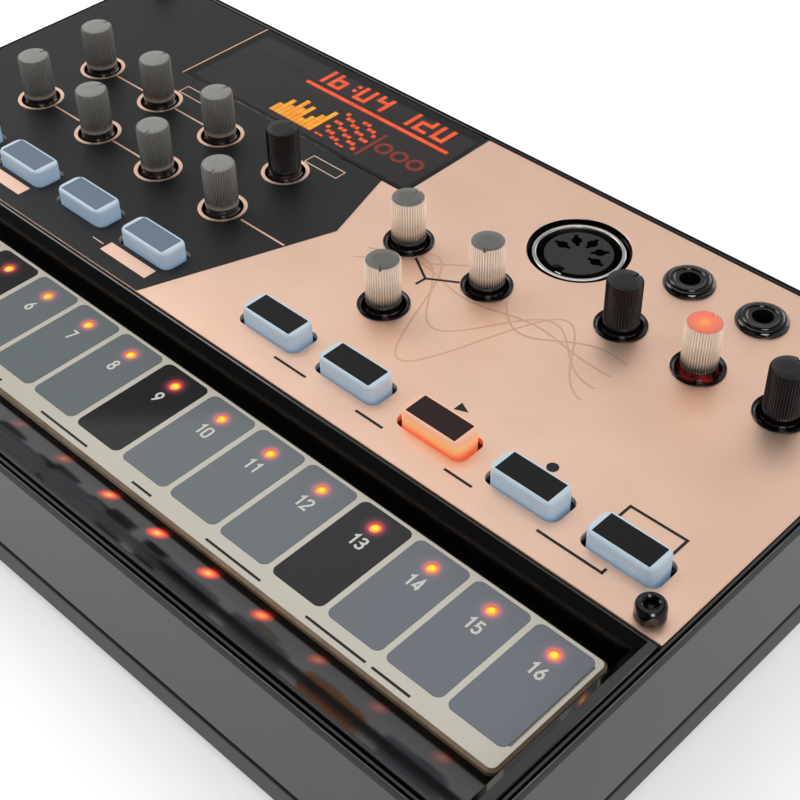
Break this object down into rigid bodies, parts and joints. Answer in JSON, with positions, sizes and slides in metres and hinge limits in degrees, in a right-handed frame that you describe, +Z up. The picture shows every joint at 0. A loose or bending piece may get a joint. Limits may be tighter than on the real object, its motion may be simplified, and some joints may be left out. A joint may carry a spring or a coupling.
{
  "type": "drum machine",
  "caption": "Compact tabletop drum machine: metal control panel with small knobs, lit button caps and sockets above a sunken touch strip of step pads in a black case.",
  "frame": {"origin": "on the ground under the middle of the case, at the centre of its bounding box", "axes": "+Z up, +X along the long side to the player's right, +Y towards the back edge with the sockets"},
  "size_m": [0.193, 0.115, 0.039],
  "materials": {
    "case_textured": "fine texture",
    "case_gloss": "high gloss",
    "panel_metal": "satin anodised",
    "window": "high gloss",
    "display": "gloss",
    "strip_print": "satin",
    "pad_print": "gloss",
    "circuit_board": "satin",
    "orange_light": "glowing",
    "brass": "machined",
    "black_nylon": "semi gloss",
    "pot_blue": "moulded",
    "steel": "satin",
    "nickel": "plated",
    "speaker_grey": "matte",
    "cell_sleeve": "satin sleeve",
    "rubber": "matte",
    "black_oxide": "black oxide",
    "clear_knob": "clear smoky",
    "black_knob": "satin",
    "lit_knob": "clear, lit from below",
    "frosted_cap": "frosted",
    "lit_cap": "frosted, lit from below"
  },
  "bodies": {
    "chassis": {"lower_case": "case_textured", "top_case": "case_gloss", "panel_plate": "panel_metal", "display_window": "window", "display_module": "display", "touch_strip": "strip_print", "step_pads": "pad_print", "touch_board": "circuit_board", "step_lights": "orange_light", "bezel_lights": "orange_light", "bezel_board": "circuit_board", "panel_board": "circuit_board", "main_board": "circuit_board", "board_spacers": "brass", "board_connector": "black_nylon", "jack_board": "circuit_board", "power_board": "circuit_board", "knob_collars": "black_nylon", "pot_bodies": "pot_blue", "encoder_body": "steel", "switch_bodies": "black_nylon", "din_shell": "nickel", "din_insulator": "black_nylon", "jack_sockets": "black_nylon", "jack_nuts": "black_nylon", "dc_socket": "black_nylon", "power_switch": "steel", "speaker": "speaker_grey", "battery_contacts": "steel", "batteries": "cell_sleeve", "rubber_feet": "rubber", "panel_bolts": "black_oxide", "case_screws": "steel"},
    "level_knob": {"level_knob": "clear_knob"},
    "pitch_knob": {"pitch_knob": "clear_knob"},
    "attack_knob": {"attack_knob": "clear_knob"},
    "amount_knob": {"amount_knob": "clear_knob"},
    "release_knob": {"release_knob": "clear_knob"},
    "rate_knob": {"rate_knob": "clear_knob"},
    "send_knob": {"send_knob": "clear_knob"},
    "decay_knob": {"decay_knob": "clear_knob"},
    "tune_knob": {"tune_knob": "clear_knob"},
    "body_knob": {"body_knob": "clear_knob"},
    "swing_knob": {"swing_knob": "black_knob"},
    "tempo_knob": {"tempo_knob": "lit_knob"},
    "volume_knob": {"volume_knob": "black_knob"},
    "select_encoder": {"select_encoder": "black_knob"},
    "part_button": {"part_button": "frosted_cap"},
    "edit_button": {"edit_button": "frosted_cap"},
    "active_button": {"active_button": "frosted_cap"},
    "layer_button": {"layer_button": "frosted_cap"},
    "jump_button": {"jump_button": "frosted_cap"},
    "mute_button": {"mute_button": "frosted_cap"},
    "play_button": {"play_button": "lit_cap"},
    "record_button": {"record_button": "frosted_cap"},
    "function_button": {"function_button": "frosted_cap"},
    "power_slider": {"power_slider": "black_knob"},
    "battery_cover": {"battery_cover": "case_textured"}
  },
  "joints": [
    {"name": "level_turn", "type": "hinge", "parent": "chassis", "child": "level_knob", "pos_m": [-0.074, 0.00779, 0.0298], "axis": [0, 0, 1], "range_deg": [-150, 150]},
    {"name": "pitch_turn", "type": "hinge", "parent": "chassis", "child": "pitch_knob", "pos_m": [-0.074, 0.0229, 0.0298], "axis": [0, 0, 1], "range_deg": [-150, 150]},
    {"name": "attack_turn", "type": "hinge", "parent": "chassis", "child": "attack_knob", "pos_m": [-0.0562, 0.00779, 0.0298], "axis": [0, 0, 1], "range_deg": [-150, 150]},
    {"name": "amount_turn", "type": "hinge", "parent": "chassis", "child": "amount_knob", "pos_m": [-0.0562, 0.0229, 0.0298], "axis": [0, 0, 1], "range_deg": [-150, 150]},
    {"name": "release_turn", "type": "hinge", "parent": "chassis", "child": "release_knob", "pos_m": [-0.0384, 0.00779, 0.0298], "axis": [0, 0, 1], "range_deg": [0, 300]},
    {"name": "rate_turn", "type": "hinge", "parent": "chassis", "child": "rate_knob", "pos_m": [-0.0384, 0.0229, 0.0298], "axis": [0, 0, 1], "range_deg": [-150, 150]},
    {"name": "send_turn", "type": "hinge", "parent": "chassis", "child": "send_knob", "pos_m": [-0.0206, 0.00779, 0.0298], "axis": [0, 0, 1], "range_deg": [0, 300]},
    {"name": "decay_turn", "type": "hinge", "parent": "chassis", "child": "decay_knob", "pos_m": [0.0105, 0.0229, 0.0298], "axis": [0, 0, 1], "range_deg": [-150, 150]},
    {"name": "tune_turn", "type": "hinge", "parent": "chassis", "child": "tune_knob", "pos_m": [0.0193, 0.00779, 0.0298], "axis": [0, 0, 1], "range_deg": [-6, 294]},
    {"name": "body_turn", "type": "hinge", "parent": "chassis", "child": "body_knob", "pos_m": [0.0284, 0.0229, 0.0298], "axis": [0, 0, 1], "range_deg": [0, 300]},
    {"name": "swing_turn", "type": "hinge", "parent": "chassis", "child": "swing_knob", "pos_m": [0.0509, 0.0299, 0.0298], "axis": [0, 0, 1], "range_deg": [-134, 166]},
    {"name": "tempo_turn", "type": "hinge", "parent": "chassis", "child": "tempo_knob", "pos_m": [0.0661, 0.0299, 0.0298], "axis": [0, 0, 1], "range_deg": [-150, 150]},
    {"name": "volume_turn", "type": "hinge", "parent": "chassis", "child": "volume_knob", "pos_m": [0.0813, 0.0299, 0.0298], "axis": [0, 0, 1], "range_deg": [-150, 150]},
    {"name": "select_turn", "type": "hinge", "parent": "chassis", "child": "select_encoder", "pos_m": [-0.0206, 0.0229, 0.0298], "axis": [0, 0, 1], "continuous": true},
    {"name": "part_press", "type": "slide", "parent": "chassis", "child": "part_button", "axis": [0, 0, -1], "range_m": [0, 0.0008], "stiffness_N_per_m": 800, "springref_m": -0.0005},
    {"name": "edit_press", "type": "slide", "parent": "chassis", "child": "edit_button", "axis": [0, 0, -1], "range_m": [0, 0.0008], "stiffness_N_per_m": 800, "springref_m": -0.0005},
    {"name": "active_press", "type": "slide", "parent": "chassis", "child": "active_button", "axis": [0, 0, -1], "range_m": [0, 0.0008], "stiffness_N_per_m": 800, "springref_m": -0.0005},
    {"name": "layer_press", "type": "slide", "parent": "chassis", "child": "layer_button", "axis": [0, 0, -1], "range_m": [0, 0.0008], "stiffness_N_per_m": 800, "springref_m": -0.0005},
    {"name": "jump_press", "type": "slide", "parent": "chassis", "child": "jump_button", "axis": [0, 0, -1], "range_m": [0, 0.0008], "stiffness_N_per_m": 800, "springref_m": -0.0005},
    {"name": "mute_press", "type": "slide", "parent": "chassis", "child": "mute_button", "axis": [0, 0, -1], "range_m": [0, 0.0008], "stiffness_N_per_m": 800, "springref_m": -0.0005},
    {"name": "play_press", "type": "slide", "parent": "chassis", "child": "play_button", "axis": [0, 0, -1], "range_m": [0, 0.0008], "stiffness_N_per_m": 800, "springref_m": -0.0005},
    {"name": "record_press", "type": "slide", "parent": "chassis", "child": "record_button", "axis": [0, 0, -1], "range_m": [0, 0.0008], "stiffness_N_per_m": 800, "springref_m": -0.0005},
    {"name": "function_press", "type": "slide", "parent": "chassis", "child": "function_button", "axis": [0, 0, -1], "range_m": [0, 0.0008], "stiffness_N_per_m": 800, "springref_m": -0.0005},
    {"name": "power_slide", "type": "slide", "parent": "chassis", "child": "power_slider", "axis": [1, 0, 0], "range_m": [0, 0.003]},
    {"name": "cover_slide", "type": "slide", "parent": "chassis", "child": "battery_cover", "axis": [0, 1, 0], "range_m": [0, 0.03]}
  ]
}
